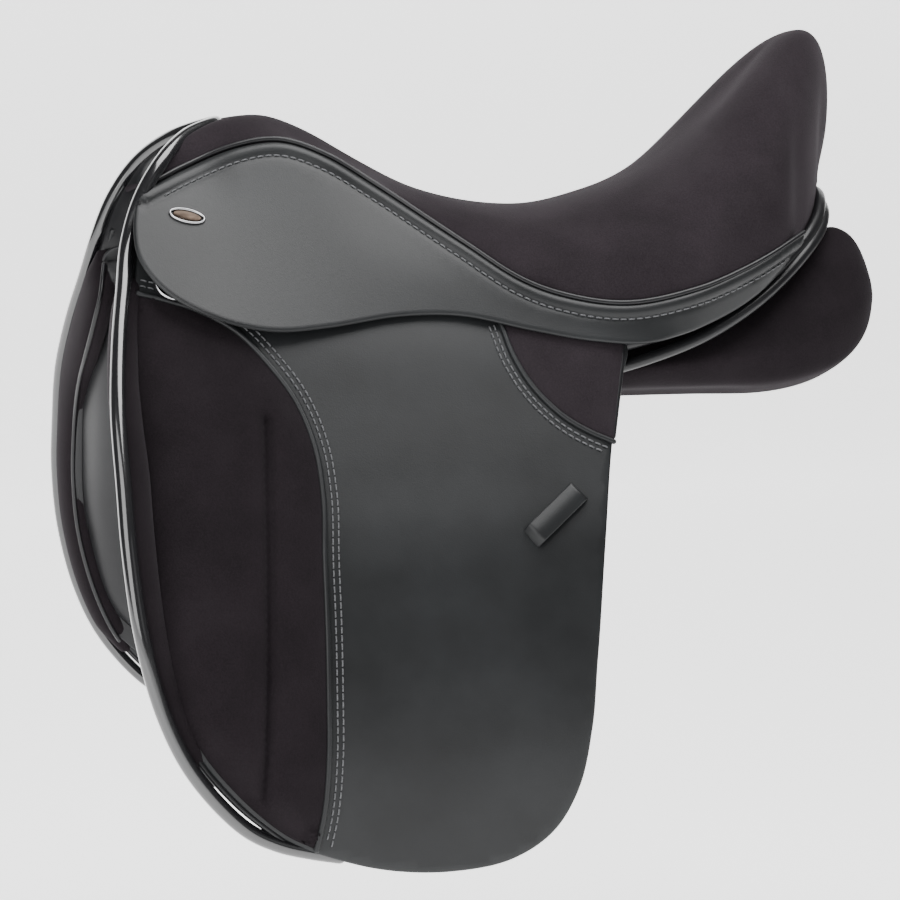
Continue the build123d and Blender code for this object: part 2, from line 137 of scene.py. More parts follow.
def ramp(tree, value, low, high, colour_a, colour_b):
    node = tree.nodes.new("ShaderNodeValToRGB")
    node.color_ramp.elements[0].position = low
    node.color_ramp.elements[1].position = high
    node.color_ramp.elements[0].color = (*colour_a, 1)
    node.color_ramp.elements[1].color = (*colour_b, 1)
    tree.links.new(value, node.inputs["Fac"])
    return node.outputs["Color"]


def spread(tree, value, low, high):
    node = tree.nodes.new("ShaderNodeMapRange")
    node.inputs["To Min"].default_value = low
    node.inputs["To Max"].default_value = high
    tree.links.new(value, node.inputs["Value"])
    return node.outputs["Result"]


def maths(tree, kind, a, b):
    node = tree.nodes.new("ShaderNodeMath")
    node.operation = kind
    for socket, value in zip(node.inputs, (a, b)):
        if isinstance(value, (int, float)):
            socket.default_value = value
        else:
            tree.links.new(value, socket)
    return node.outputs[0]


def bump(tree, shader, height, strength, distance):
    node = tree.nodes.new("ShaderNodeBump")
    node.inputs["Strength"].default_value = strength
    node.inputs["Distance"].default_value = distance
    tree.links.new(height, node.inputs["Height"])
    tree.links.new(node.outputs["Normal"], shader.inputs["Normal"])


def object_coords(tree):
    return tree.nodes.new("ShaderNodeTexCoord").outputs["Object"]


def leather(name, dark, light, roughness, grain=1100.0, depth=0.00010, coat=0.0, worn=0.1,
            shine=0.27):
    """Grained leather: pebbled grain, soft mottling and slightly uneven gloss."""
    material, tree, shader = new_material(name)
    coords = object_coords(tree)
    cloudy = noise(tree, coords, 14.0, 5.0)
    pebble = voronoi(tree, coords, grain)
    creases = noise(tree, coords, grain * 0.35, 6.0, 0.65)
    tree.links.new(ramp(tree, cloudy, 0.3, 0.72, dark, light), shader.inputs["Base Color"])
    gloss = maths(tree, "ADD", spread(tree, cloudy, roughness - worn / 2, roughness + worn / 2),
                  spread(tree, creases, -0.05, 0.05))
    tree.links.new(gloss, shader.inputs["Roughness"])
    height = maths(tree, "ADD", maths(tree, "MULTIPLY", pebble, 0.8), creases)
    bump(tree, shader, height, 0.35, depth)
    shader.inputs["Specular IOR Level"].default_value = shine
    shader.inputs["Coat Weight"].default_value = coat
    shader.inputs["Coat Roughness"].default_value = 0.08
    return material


def suede(name, dark, light, sheen=0.05):
    """Brushed synthetic suede: short fibres, patches of nap and a soft sheen."""
    material, tree, shader = new_material(name)
    coords = object_coords(tree)
    nap = noise(tree, coords, 22.0, 4.0)
    fibre = noise(tree, coords, 900.0, 3.0, 0.7)
    mix = maths(tree, "ADD", maths(tree, "MULTIPLY", nap, 0.45), maths(tree, "MULTIPLY", fibre, 0.55))
    tree.links.new(ramp(tree, mix, 0.32, 0.68, dark, light), shader.inputs["Base Color"])
    tree.links.new(spread(tree, fibre, 0.86, 0.98), shader.inputs["Roughness"])
    bump(tree, shader, fibre, 0.55, 0.00035)
    shader.inputs["Specular IOR Level"].default_value = 0.08
    shader.inputs["Sheen Weight"].default_value = sheen
    shader.inputs["Sheen Roughness"].default_value = 0.45
    shader.inputs["Sheen Tint"].default_value = (0.75, 0.68, 0.74, 1)
    return material


def metal(name, dark, light, roughness):
    material, tree, shader = new_material(name)
    coords = object_coords(tree)
    cloudy = noise(tree, coords, 90.0, 4.0)
    scratch = noise(tree, coords, 1400.0, 2.0)
    tree.links.new(ramp(tree, cloudy, 0.3, 0.7, dark, light), shader.inputs["Base Color"])
    tree.links.new(spread(tree, scratch, roughness * 0.7, roughness * 1.4), shader.inputs["Roughness"])
    bump(tree, shader, scratch, 0.15, 0.00003)
    shader.inputs["Metallic"].default_value = 1.0
    return material


def thread(name, dark, light):
    material, tree, shader = new_material(name)
    coords = object_coords(tree)
    twist = noise(tree, coords, 1500.0, 2.0)
    tree.links.new(ramp(tree, twist, 0.3, 0.7, dark, light), shader.inputs["Base Color"])
    tree.links.new(spread(tree, twist, 0.45, 0.7), shader.inputs["Roughness"])
    bump(tree, shader, twist, 0.4, 0.0001)
    return material


def webbing(name, dark, light):
    """Woven nylon: a fine basket weave."""
    material, tree, shader = new_material(name)
    coords = object_coords(tree)
    weave = voronoi(tree, coords, 900.0)
    tree.links.new(ramp(tree, weave, 0.1, 0.7, light, dark), shader.inputs["Base Color"])
    tree.links.new(spread(tree, weave, 0.55, 0.8), shader.inputs["Roughness"])
    bump(tree, shader, weave, 0.6, 0.0003)
    return material


FLAP_LEATHER = leather("flap_leather", (0.0075, 0.008, 0.0085), (0.0145, 0.0155, 0.0165), 0.43)
SKIRT_LEATHER = leather("skirt_leather", (0.0095, 0.010, 0.0105), (0.0175, 0.0185, 0.0195), 0.40)
INNER_LEATHER = leather("inner_leather", (0.010, 0.010, 0.011), (0.016, 0.016, 0.017), 0.42)
PIPING_GLOSS = leather("gloss_piping", (0.004, 0.004, 0.005), (0.009, 0.009, 0.010), 0.20, 700.0,
                       0.00002, 1.0, 0.05, 0.6)
BLACK_LEATHER = leather("black_leather", (0.006, 0.006, 0.007), (0.013, 0.013, 0.014), 0.36, 900.0,
                        0.00005, 0.1)
STRAP_LEATHER = leather("strap_leather", (0.012, 0.012, 0.013), (0.024, 0.024, 0.026), 0.42)
SEAT_SUEDE = suede("seat_suede", (0.010, 0.0078, 0.0094), (0.024, 0.0192, 0.0226))
PANEL_SUEDE = suede("panel_suede", (0.005, 0.0037, 0.0046), (0.0135, 0.0105, 0.0125))
STEEL = metal("steel", (0.35, 0.35, 0.36), (0.55, 0.55, 0.56), 0.32)
CHROME = metal("chrome_metal", (0.30, 0.30, 0.31), (0.50, 0.50, 0.51), 0.14)
BRONZE = metal("bronze", (0.020, 0.015, 0.012), (0.075, 0.055, 0.042), 0.30)
THREAD = thread("thread", (0.04, 0.041, 0.043), (0.11, 0.112, 0.118))
WEBBING = webbing("nylon_webbing", (0.03, 0.03, 0.032), (0.10, 0.10, 0.105))
SHELL = leather("tree_shell", (0.018, 0.018, 0.019), (0.03, 0.03, 0.032), 0.4, 500.0, 0.00005)


# ---------------------------------------------------------------- curves
def smooth(points, step):
    """Points about step apart along a smooth curve through the given ones, of any dimension."""
    pts = [Vector(p) for p in points]
    pts = [pts[0] * 2 - pts[1]] + pts + [pts[-1] * 2 - pts[-2]]
    out = []
    for p0, p1, p2, p3 in zip(pts, pts[1:], pts[2:], pts[3:]):
        t0 = 0.0
        t1 = t0 + max((p1 - p0).length, 1e-6) ** 0.5
        t2 = t1 + max((p2 - p1).length, 1e-6) ** 0.5
        t3 = t2 + max((p3 - p2).length, 1e-6) ** 0.5
        count = max(1, round((p2 - p1).length / step))
        for i in range(count):
            t = t1 + (t2 - t1) * i / count
            a1 = p0 * ((t1 - t) / (t1 - t0)) + p1 * ((t - t0) / (t1 - t0))
            a2 = p1 * ((t2 - t) / (t2 - t1)) + p2 * ((t - t1) / (t2 - t1))
            a3 = p2 * ((t3 - t) / (t3 - t2)) + p3 * ((t - t2) / (t3 - t2))
            b1 = a1 * ((t2 - t) / (t2 - t0)) + a2 * ((t - t0) / (t2 - t0))
            b2 = a2 * ((t3 - t) / (t3 - t1)) + a3 * ((t - t1) / (t3 - t1))
            out.append(b1 * ((t2 - t) / (t2 - t1)) + b2 * ((t - t1) / (t2 - t1)))
    out.append(pts[-2].copy())
    return out


def blend_rows(rows, at):
    """Smooth value of a table of (position, value, ...) rows at a position."""
    if at <= rows[0][0]:
        i = 0
    elif at >= rows[-1][0]:
        i = len(rows) - 2
    else:
        i = next(k for k in range(len(rows) - 1) if at <= rows[k + 1][0])
    x0, x1 = rows[i][0], rows[i + 1][0]
    t = (at - x0) / (x1 - x0)

    def slope(k, column):
        lo, hi = rows[max(k - 1, 0)], rows[min(k + 1, len(rows) - 1)]
        return (hi[column] - lo[column]) / (hi[0] - lo[0])

    if t < 0 or t > 1:
        return [rows[i][c] + (rows[i + 1][c] - rows[i][c]) * t for c in range(1, len(rows[i]))]
    h00, h10 = 2 * t ** 3 - 3 * t ** 2 + 1, t ** 3 - 2 * t ** 2 + t
    h01, h11 = 3 * t ** 2 - 2 * t ** 3, t ** 3 - t ** 2
    return [h00 * rows[i][c] + h10 * (x1 - x0) * slope(i, c) + h01 * rows[i + 1][c]
            + h11 * (x1 - x0) * slope(i + 1, c) for c in range(1, len(rows[i]))]


def ease(low, high, value):
    """0 below low, 1 above high, smooth between."""
    t = min(1.0, max(0.0, (value - low) / (high - low)))
    return t * t * (3 - 2 * t)


def area_2d(outline):
    return 0.5 * sum(a.x * b.y - b.x * a.y for a, b in zip(outline, outline[1:] + outline[:1]))


def closed_outline(*runs, step=3.0):
    """Closed outline from smooth runs that share their end points, anticlockwise."""
    out = []
    for run in runs:
        out += smooth(run, step)[:-1]
    return out if area_2d(out) > 0 else out[::-1]


def inset(outline, distance):
    """The outline moved inwards."""
    count, out = len(outline), []
    for i, p in enumerate(outline):
        a, b = outline[i - 1], outline[(i + 1) % count]
        u, v = (p - a).normalized(), (b - p).normalized()
        n = Vector((-(u.y + v.y), u.x + v.x))
        n.normalize()
        out.append(p + n * distance / max(0.5, n.dot(Vector((-u.y, u.x)))))
    return out


# ---------------------------------------------------------------- mesh builders
def add_object(name, verts, faces, material, body, flip=False):
    """New mesh object from points in millimetres. flip mirrors it to the off side."""
    sign = -1 if flip else 1
    mesh = bpy.data.meshes.new(name)
    mesh.from_pydata([(v[0] * MM * sign, v[1] * MM, v[2] * MM) for v in verts], [],
                     [f[::-1] for f in faces] if flip else faces)
    mesh.validate()
    for polygon in mesh.polygons:
        polygon.use_smooth = True
    mesh.materials.append(material)
    obj = bpy.data.objects.new(name, mesh)
    bpy.context.collection.objects.link(obj)
    if body:
        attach(obj, body)
    return obj


def sheet_parts(outline, place, thickness, edge=1.4, step=5.0, relief=None, rings=()):
    """A curved sheet with rounded edges. outline is in (y, z), place gives point and normal of
    the outer face, relief a height above it from (y, z, distance to the edge)."""
    levels = [0.0, 0.25 * edge, edge] + list(rings)
    flat, depth, edges = [], [], []
    for level in levels:
        ring = inset(outline, level) if level else outline
        base = len(flat)
        flat += ring
        depth += [level] * len(ring)
        if level == 0.0:
            edges = [(base + i, base + (i + 1) % len(ring)) for i in range(len(ring))]
    border = KDTree(len(outline))
    for i, p in enumerate(outline):
        border.insert((p.x, p.y, 0), i)
    border.balance()
    lo = Vector((min(p.x for p in outline), min(p.y for p in outline)))
    hi = Vector((max(p.x for p in outline), max(p.y for p in outline)))
    for j in range(int((hi.y - lo.y) / step) + 1):
        for i in range(int((hi.x - lo.x) / step) + 1):
            p = lo + Vector((i + (0.5 if j % 2 else 0.0), j)) * step
            nearest, index, gap = border.find((p.x, p.y, 0))
            if gap < max(levels[-1] + 0.45 * step, 0.7 * step):
                continue
            inward = Vector((p.x, p.y)) - outline[index]
            a, b = outline[index - 1], outline[(index + 1) % len(outline)]
            if Vector((a.y - b.y, b.x - a.x)).dot(inward) <= 0:
                continue
            flat.append(p)
            depth.append(gap)
    points, _, faces, origin, _, _ = delaunay_2d_cdt(flat, edges, [], 1, 1e-5)
    depths = [depth[source[0]] if source else edge for source in origin]
    top, bottom = [], []
    for p, d in zip(points, depths):
        point, normal = place(p.x, p.y)
        high = relief(p.x, p.y, d) if relief else 0.0
        drop = edge * (1 - math.sqrt(max(0.0, 1 - (1 - min(d, edge) / edge) ** 2)))
        top.append(point + normal * (high - drop))
        bottom.append(point - normal * (thickness - drop))
    count = len(points)
    outward = sum((top[f[1]] - top[f[0]]).cross(top[f[2]] - top[f[0]]).x for f in faces)
    faces = [tuple(f) if outward > 0 else tuple(f[::-1]) for f in faces]
    used = {}
    for f in faces:
        for a, b in zip(f, f[1:] + f[:1]):
            used[(a, b)] = True
    sides = [(b, a, a + count, b + count) for a, b in used if (b, a) not in used]
    back = [tuple(i + count for i in f[::-1]) for f in faces]
    return top + bottom, faces + back + sides


def rings_to_mesh(rings, closed_ring=True, caps=True):
    """Skin over a row of rings of equal size."""
    count, faces = len(rings[0]), []
    for i in range(len(rings) - 1):
        for j in range(count if closed_ring else count - 1):
            k = (j + 1) % count
            faces.append((i * count + j, i * count + k, (i + 1) * count + k, (i + 1) * count + j))
    verts = [p for ring in rings for p in ring]
    if caps:
        for base, ring, turn in ((0, rings[0], True), ((len(rings) - 1) * count, rings[-1], False)):
            centre = sum(ring, Vector((0, 0, 0))) / count
            verts.append(centre)
            for j in range(count):
                face = (base + j, base + (j + 1) % count, len(verts) - 1)
                faces.append(face[::-1] if turn else face)
    return verts, faces


def tube_parts(line, radius, segments=12, round_ends=True):
    """Round tube along a line of points; radius is a number or a function of 0 to 1."""
    size = radius if callable(radius) else (lambda _: radius)
    rings, normal = [], None
    last = len(line) - 1
    tangents = [(line[min(i + 1, last)] - line[max(i - 1, 0)]).normalized() for i in range(last + 1)]
    steps = []
    for i, (p, t) in enumerate(zip(line, tangents)):
        r = size(i / last)
        if round_ends and i == 0:
            steps += [(p - t * r * math.cos(a), t, r * math.sin(a)) for a in (0.25, 0.6, 1.0, 1.3)]
        steps.append((p, t, r))
        if round_ends and i == last:
            steps += [(p + t * r * math.cos(a), t, r * math.sin(a)) for a in (1.3, 1.0, 0.6, 0.25)]
    for p, t, r in steps:
        if normal is None:
            normal = t.orthogonal().normalized()
        normal = (normal - t * normal.dot(t)).normalized()
        other = t.cross(normal)
        rings.append([p + (normal * math.cos(a) + other * math.sin(a)) * r
                      for a in (2 * math.pi * k / segments for k in range(segments))])
    return rings_to_mesh(rings)


def join_parts(parts):
    verts, faces = [], []
    for v, f in parts:
        base = len(verts)
        verts += v
        faces += [tuple(i + base for i in face) for face in f]
    return verts, faces


def stitch_parts(line, normals, pitch=5.2, length=3.9, radius=0.55, lift=0.15):
    """Row of stitches: short rounded threads that dip into the surface at their ends."""
    parts, travelled, target = [], 0.0, pitch / 2
    for (a, na), (b, nb) in zip(zip(line, normals), zip(line[1:], normals[1:])):
        run = (b - a).length
        while run > 0 and target <= travelled + run:
            t = (target - travelled) / run
            centre, normal = a.lerp(b, t), na.lerp(nb, t).normalized()
            along = (b - a).normalized()
            arch = []
            for s in (-0.5, -0.3, 0.0, 0.3, 0.5):
                height = lift + radius * (0.75 - 4.2 * s * s)
                arch.append(centre + along * s * length + normal * height)
            parts.append(tube_parts(arch, radius, 6, False))
            target += pitch
        travelled += run
    return join_parts(parts)


def puff(obj, pressure, held, frames=12, cap=0.003):
    """Cloth pass that plumps a padded piece. held(point) is True where it is sewn down, and no
    point moves further than cap, in metres."""
    scene = bpy.context.scene
    group = obj.vertex_groups.new(name="held")
    for vertex in obj.data.vertices:
        weight = 1.0 if held(vertex.co / MM) else 0.0
        group.add([vertex.index], weight, "REPLACE")
    start = [v.co.copy() for v in obj.data.vertices]
    cloth = obj.modifiers.new("cloth", "CLOTH")
    cloth.settings.use_pressure = True
    cloth.settings.uniform_pressure_force = pressure
    cloth.settings.vertex_group_mass = "held"
    cloth.settings.effector_weights.gravity = 0.0
    cloth.settings.tension_stiffness = 30
    cloth.settings.compression_stiffness = 30
    cloth.settings.shear_stiffness = 15
    cloth.settings.bending_stiffness = 4
    cloth.point_cache.frame_start, cloth.point_cache.frame_end = 1, frames
    for number in range(1, frames + 1):
        scene.frame_set(number)
    evaluated = obj.evaluated_get(bpy.context.evaluated_depsgraph_get())
    moved = [v.co.copy() for v in evaluated.data.vertices]
    obj.modifiers.remove(cloth)
    scene.frame_set(1)
    for vertex, a, b in zip(obj.data.vertices, start, moved):
        step = b - a
        vertex.co = a + step * min(1.0, cap / max(step.length, 1e-9))
    obj.vertex_groups.clear()


def subdivide(obj, levels=1):
    modifier = obj.modifiers.new("subdivision", "SUBSURF")
    modifier.levels = modifier.render_levels = levels


# ---------------------------------------------------------------- shape of the saddle
LEATHER = 4.0
SKIRT_THICK = 2.8         # leaves room for the bar's catch when it is turned up
FLAP_FACE = [(-280, 203), (-205, 202), (-160, 197), (-120, 188), (-80, 173), (-40, 152), (0, 130),
             (40, 108), (80, 82), (110, 60)]
FLAP_HINGE_Z = 30.0


def flap_face(inward=0.0):
    """Place on the flap's outer face, moved inwards along X."""
    def place(y, z):
        x = blend_rows(FLAP_FACE, z)[0]
        slope = (blend_rows(FLAP_FACE, z + 1)[0] - blend_rows(FLAP_FACE, z - 1)[0]) / 2
        return Vector((x - inward, y, z)), Vector((1, 0, -slope)).normalized()
    return place


# y, x and z of a reference line, slope above it, slope below it
SKIRT_ROWS = [
    (-262, 61.1, 132.9, 0.90, 0.75), (-220, 68.3, 120.8, 0.96, 0.74), (-187, 74.0, 111.2, 0.71, 0.68),
    (-139, 82.3, 97.3, 0.62, 0.60), (-105, 88.1, 87.5, 0.69, 0.55), (-73, 93.6, 78.3, 0.66, 0.50),
    (-38, 99.7, 68.1, 0.45, 0.50), (0, 106.2, 57.1, 0.19, 0.50), (31, 111.6, 48.2, -0.05, 0.50),
    (66, 117.6, 38.1, -0.05, 0.45), (84, 117.0, 30.0, -0.0625, -0.0625),
    (102, 111.0, 36.0, -0.21, -0.21), (138, 100.0, 53.0, -0.30, -0.30),
    (163, 89.0, 74.0, -0.47, -0.47), (184, 80.0, 88.0, -0.46, -0.46),
]


def skirt_x(y, z):
    """Outer face of the skirt: steep below the reference line and flatter above it."""
    x, ref, above, below = blend_rows(SKIRT_ROWS, y)
    t = z - ref
    soft = 7.0
    bend = soft * math.log1p(math.exp(max(-30.0, min(30.0, t / soft))))
    return x - below * t - (above - below) * bend


def skirt_face(y, z):
    """Place on the skirt's outer face, with its normal."""
    x = skirt_x(y, z)
    across = Vector((skirt_x(y + 2, z) - skirt_x(y - 2, z), 4, 0))
    up = Vector((skirt_x(y, z + 2) - skirt_x(y, z - 2), 0, 4))
    return Vector((x, y, z)), across.cross(up).normalized()


# The seam between seat and skirt, (y, z) from the front corner to the tail
SEAM = [(-250, 128), (-222, 141), (-187, 154.5), (-160, 157.5), (-132, 148), (-100, 128),
        (-54, 95), (-20, 71.5), (8, 61), (45, 56), (90, 64), (128, 77), (175, 98)]
SKIRT_LOWER = [(175, 98), (172, 90), (149, 67), (110, 46), (60, 33), (20, 35), (-18, 42), (-60, 51),
               (-100, 51.5), (-145, 46), (-180, 44.5), (-213, 52), (-243, 68), (-257, 87),
               (-258.5, 105), (-254, 123), (-250, 128)]
SEAM_LINE = smooth(SEAM, 2.0)
STITCH_MARGIN = 8.5       # from the seam to the row of stitches


def gap_to(line, y, z):
    """Distance from (y, z) to a line."""
    p = Vector((y, z))
    best = 1e9
    for a, b in zip(line, line[1:]):
        run = b - a
        t = max(0.0, min(1.0, (p - a).dot(run) / max(run.length_squared, 1e-9)))
        best = min(best, (p - (a + run * t)).length)
    return best


def line_on(place, points, step=2.0, lift=0.0):
    """A (y, z) line laid on a face: its points and normals."""
    placed = [place(p.x, p.y) for p in smooth(points, step)]
    return [p + n * lift for p, n in placed], [n for _, n in placed]


def shift_line(points, distance):
    """A (y, z) line moved to its right."""
    out = []
    for i, p in enumerate(points):
        a, b = points[max(i - 1, 0)], points[min(i + 1, len(points) - 1)]
        t = (b - a).normalized()
        out.append(p + Vector((t.y, -t.x)) * distance)
    return out


# ---------------------------------------------------------------- seat
# Crown point (y, z) and edge point (y, z) of each rib, from the pommel to the back of the cantle.
# The edge lies on the skirt where the row has no half width.
SEAT_RIBS = [
    ((-191, 166), (-245, 129.5), None), ((-180, 174), (-231, 137.5), None),
    ((-160, 175), (-198, 151.5), None), ((-133, 165), (-164, 157), None),
    ((-105, 149), (-131, 147), None), ((-73, 133), (-98, 127), None),
    ((-38, 123), (-60, 99.5), None), ((-5, 118.3), (-27, 76.5), None),
    ((25, 119), (8, 61.5), None), ((55, 126), (45, 57), None), ((85, 137), (80, 62), None),
    ((115, 157), (110, 71.5), None), ((145, 187), (138, 82), None), ((172, 214), (160, 92), None),
    ((193, 230), (174, 99), 81), ((210, 235), (187, 106), 67), ((223, 226), (198, 114), 52),
    ((230, 203), (206, 121), 38), ((230.5, 172), (212, 127), 26), ((226, 147), (217, 131), 16),
    ((222, 134), (220, 132), 10),
]


def seat_rib(crown, edge, half, count=28):
    """One arch of the seat, from the off edge over the crown to the near edge, tucked under."""
    w = half or skirt_x(*edge) - 2.5
    (yc, zc), (ye, ze) = crown, edge
    ring = []
    for k in range(-count, count + 1):
        a = k / count * math.pi / 2
        s = math.copysign(abs(math.sin(a)) ** 0.92, a)
        rise = (1 - abs(s) ** 2.25) ** 0.60
        ring.append(Vector((w * s, yc + (ye - yc) * abs(s) ** 1.2, ze + (zc - ze) * rise)))
    tuck = []
    for side, end in ((-1, ring[0]), (1, ring[-1])):
        deep = 3.0 if half else 1.0
        inner = [end + Vector((-side * 5, 0, -3.0 * deep)), end + Vector((-side * 12, 0, -4.5 * deep))]
        tuck.append(inner)
    return tuck[0][::-1] + ring + tuck[1]


def make_seat():
    rows = [seat_rib(*rib) for rib in SEAT_RIBS]
    columns = [[row[k] for row in rows] for k in range(len(rows[0]))]
    rings = []
    for i in range(len(rows) - 1):
        for part in range(3):
            t = part / 3
            ring = []
            for column in columns:
                p0, p1 = column[max(i - 1, 0)], column[i]
                p2, p3 = column[i + 1], column[min(i + 2, len(rows) - 1)]
                ring.append(0.5 * ((2 * p1) + (p2 - p0) * t + (2 * p0 - 5 * p1 + 4 * p2 - p3) * t * t
                                   + (3 * p1 - p0 - 3 * p2 + p3) * t ** 3))
            rings.append(ring)
    rings.append(rows[-1])
    verts, faces = rings_to_mesh(rings, closed_ring=False, caps=False)
    seat = add_object("seat_cushion", verts, [f[::-1] for f in faces], SEAT_SUEDE, "root")
    width = len(rings[0])
    held = {i for i in range(len(verts)) if i % width < 4 or i % width >= width - 4
            or i < 2 * width or i >= len(verts) - 2 * width}
    spots = {tuple(round(c, 3) for c in verts[i]) for i in held}
    puff(seat, pressure=1.2, cap=0.0025, held=lambda p: tuple(round(c, 3) for c in p) in spots)
    subdivide(seat)
    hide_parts("seat_cover", "seat_foam")


# ---------------------------------------------------------------- skirts
def make_skirts():
    outline = closed_outline(SEAM, SKIRT_LOWER)
    margin = shift_line(SEAM_LINE, STITCH_MARGIN)

    def relief(y, z, d):
        gap = gap_to(SEAM_LINE, y, z)
        roll = 1.5 * math.exp(-((gap - 4.2) / 3.0) ** 2)
        groove = -0.9 * math.exp(-((gap - STITCH_MARGIN) / 1.5) ** 2)
        return roll + groove if gap < 16 else 0.0

    verts, faces = sheet_parts(outline, skirt_face, SKIRT_THICK, 1.5, 4.0, relief,
                               rings=(3.0, 5.0, 6.8, STITCH_MARGIN, 10.2, 12.5))
    rows, normals = line_on(skirt_face, margin[5:-8:3], lift=-0.5)
    threads = stitch_parts(rows, normals)
    for side, sign in SIDES:
        skirt = add_object("skirt_" + side + "_leather", verts, faces, SKIRT_LEATHER, None, sign < 0)
        blend_at_skirt(skirt)
        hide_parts("skirt_" + side, "skirt_top_" + side)
        row = add_object("skirt_stitching_" + side, *threads, THREAD, None, sign < 0)
        blend_at_skirt(row)


def blend_at_skirt(obj):
    """Bake the piece's transform into its mesh."""
    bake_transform(obj)


def make_badges():
    """Plain oval stud: a metal rim round a domed dark centre."""
    y, z = -225.0, 112.0
    centre, normal = skirt_face(y, z)
    along = Vector((0, 1, 0)) - normal * normal.y
    along = (Matrix.Rotation(math.radians(-14), 3, normal) @ along).normalized()
    other = normal.cross(along)

    def oval(a, b, height, count=40):
        return [centre + along * a * math.cos(t) + other * b * math.sin(t) + normal * height
                for t in (2 * math.pi * k / count for k in range(count))]

    rim = [oval(9.9, 4.1, -0.3), oval(11.2, 5.3, -0.3), oval(11.5, 5.6, 0.5), oval(11.3, 5.4, 1.3),
           oval(10.7, 4.9, 1.75), oval(10.1, 4.3, 1.5), oval(9.8, 4.0, 0.8)]
    face = [oval(9.9, 4.1, 0.7), oval(8.5, 3.5, 1.05), oval(5.6, 2.3, 1.35), oval(2.4, 1.0, 1.5)]
    rim_parts = rings_to_mesh(rim, caps=False)
    face_parts = rings_to_mesh(face)
    for side, sign in SIDES:
        ring = add_object("badge_rim_" + side, *rim_parts, CHROME, "skirt_" + side, sign < 0)
        disc = add_object("badge_face_" + side, *face_parts, BRONZE, "skirt_" + side, sign < 0)
        for piece in (ring, disc):
            subdivide(piece)
        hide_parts("badge_" + side)


# ---------------------------------------------------------------- flaps
FLAP_EDGE = [(34, 40), (46, 31), (37, 8), (26, -25), (10, -90), (0, -150), (-5, -190), (-14, -227),
             (-30, -252), (-56, -267), (-92, -271.5), (-130, -268), (-164, -258), (-194, -244),
             (-220, -221), (-243, -192), (-256, -163), (-265.5, -125), (-269.5, -75), (-269.5, -30),
             (-266, 20), (-261, 64), (-254, 102)]
FLAP_TOP = [(-254, 102), (-206, 100), (-200, 76), (-62, 72), (-38, 66), (0, 46), (34, 40)]
PAD_TOP_REAR = [(-258, 66), (-244, 62.5), (-224, 56), (-201, 43), (-183, 23), (-169.5, 2), (-161.5, -24),
            (-160, -52), (-163, -85), (-164.5, -118), (-166, -162), (-167, -196), (-170, -228),
            (-175, -251)]
PAD_FRONT = [(-175, -251), (-193, -241), (-217, -219.5), (-240, -190.5), (-253, -162), (-262.3, -124),
             (-266.3, -75), (-266.3, -30), (-263, 20), (-258, 66)]
CREASE = [Vector(p) for p in ((-190, -10), (-195, -60), (-199, -110), (-204, -190), (-207, -236))]
PAD_STITCHING, PATCH_STITCHING = (5.2, 8.6), (4.6, 7.8)
FINE_STITCH = {"pitch": 4.8, "length": 3.5}
PATCH_LINE = [(-35, 46), (-30, 26), (-20, 7), (-4, -10), (12, -20), (26, -26)]
PATCH_EDGE = [(26, -26), (35, 4), (43.5, 31)]


def blend_at_flap(obj):
    x = blend_rows(FLAP_FACE, FLAP_HINGE_Z)[0]
    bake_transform(obj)


def pad_relief(y, z, d):
    """Knee pad: rounded border, thicker over the knee, with a sewn crease and a soft ridge."""
    full = 4.5 + 5.0 * ease(60, -30, z) * ease(-262, -215, z)
    rise = 1 - (1 - min(d, 24.0) / 24.0) ** 2.2
    gap = gap_to(CREASE, y, z)
    crease = -5.0 * math.exp(-(gap / 2.2) ** 2) + 1.1 * math.exp(-((gap - 9) / 6.0) ** 2)
    return 0.6 + full * rise + crease * ease(2, 14, d)


